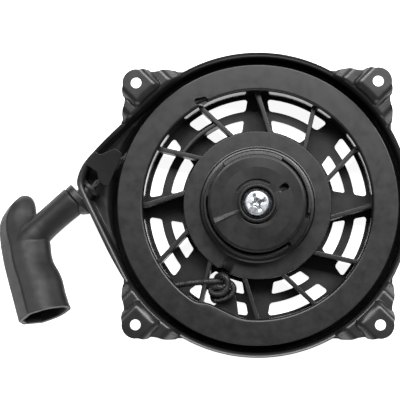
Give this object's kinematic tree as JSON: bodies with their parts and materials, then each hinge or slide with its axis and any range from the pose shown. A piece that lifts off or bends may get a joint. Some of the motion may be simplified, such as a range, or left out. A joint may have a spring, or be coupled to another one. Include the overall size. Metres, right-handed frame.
{
  "type": "recoil starter",
  "caption": "Pull-rope starter for a small engine: vented housing, sprung rope pulley, swinging dogs under a retainer, and a grip.",
  "frame": {"origin": "centre of the four mounting holes, on the mounting face", "axes": "+Z out of the mounting face towards the engine, along the pulley's axis; +X and +Y along the sides of the square of mounting holes, with the rope leaving towards -X and -Y"},
  "size_m": [0.2532, 0.186, 0.0473],
  "materials": {
    "ecoat": "semi-gloss black electrocoat",
    "nylon": "satin black moulded nylon",
    "retainer_nylon": "satin black moulded nylon",
    "zinc": "bright zinc plate",
    "steel": "machined steel",
    "bronze": "sintered bronze",
    "spring_steel": "blued spring steel",
    "spring_wire": "drawn wire",
    "cover_steel": "zinc-plated sheet",
    "rope": "black braided nylon",
    "eyelet": "black acetal",
    "grip": "matte charcoal moulded plastic"
  },
  "bodies": {
    "housing": {"starter_housing": "ecoat", "centre_post": "steel", "thrust_washer": "steel", "rope_eyelet": "eyelet", "centre_screw": "zinc", "screw_washer": "steel"},
    "pulley": {"pulley": "nylon", "hub_bushing": "bronze", "rewind_spring": "spring_steel", "spring_cover": "cover_steel", "cover_screws": "zinc", "rope_coil": "rope", "pulley_knot": "rope"},
    "dog_a": {"dog_a": "retainer_nylon", "dog_spring_a": "spring_wire"},
    "dog_b": {"dog_b": "retainer_nylon", "dog_spring_b": "spring_wire"},
    "retainer": {"retainer": "retainer_nylon", "friction_spring": "spring_wire"},
    "handle": {"handle_grip": "grip", "grip_washer": "steel", "grip_knot": "rope", "rope_run": "rope"}
  },
  "joints": [
    {"name": "pulley_spin", "type": "hinge", "parent": "housing", "child": "pulley", "pos_m": [0, 0, -0.02], "axis": [0, 0, 1], "range_deg": [0, 1080], "stiffness_Nm_per_rad": 0.074, "springref_deg": -687.55, "deforming": ["rewind_spring"]},
    {"name": "handle_pull", "type": "slide", "parent": "housing", "child": "handle", "axis": [-0.7373, -0.6756, 0], "range_m": [0, 1.44388], "deforming": ["rope_run"]},
    {"name": "retainer_turn", "type": "hinge", "parent": "pulley", "child": "retainer", "pos_m": [0, 0, -0.005], "axis": [0, 0, -1], "range_deg": [0, 30]},
    {"name": "dog_a_swing", "type": "hinge", "parent": "pulley", "child": "dog_a", "pos_m": [0.00569, -0.02125, -0.011], "axis": [0, 0, -1], "range_deg": [0, 25], "deforming": ["dog_spring_a"]},
    {"name": "dog_b_swing", "type": "hinge", "parent": "pulley", "child": "dog_b", "pos_m": [-0.00569, 0.02125, -0.011], "axis": [0, 0, -1], "range_deg": [0, 25], "deforming": ["dog_spring_b"]}
  ],
  "couplings": [
    {"joint": "handle_pull", "follows": "pulley_spin", "m_per_rad": 0.0766},
    {"joint": "dog_a_swing", "follows": "retainer_turn", "ratio": 0.83333},
    {"joint": "dog_b_swing", "follows": "retainer_turn", "ratio": 0.83333}
  ]
}
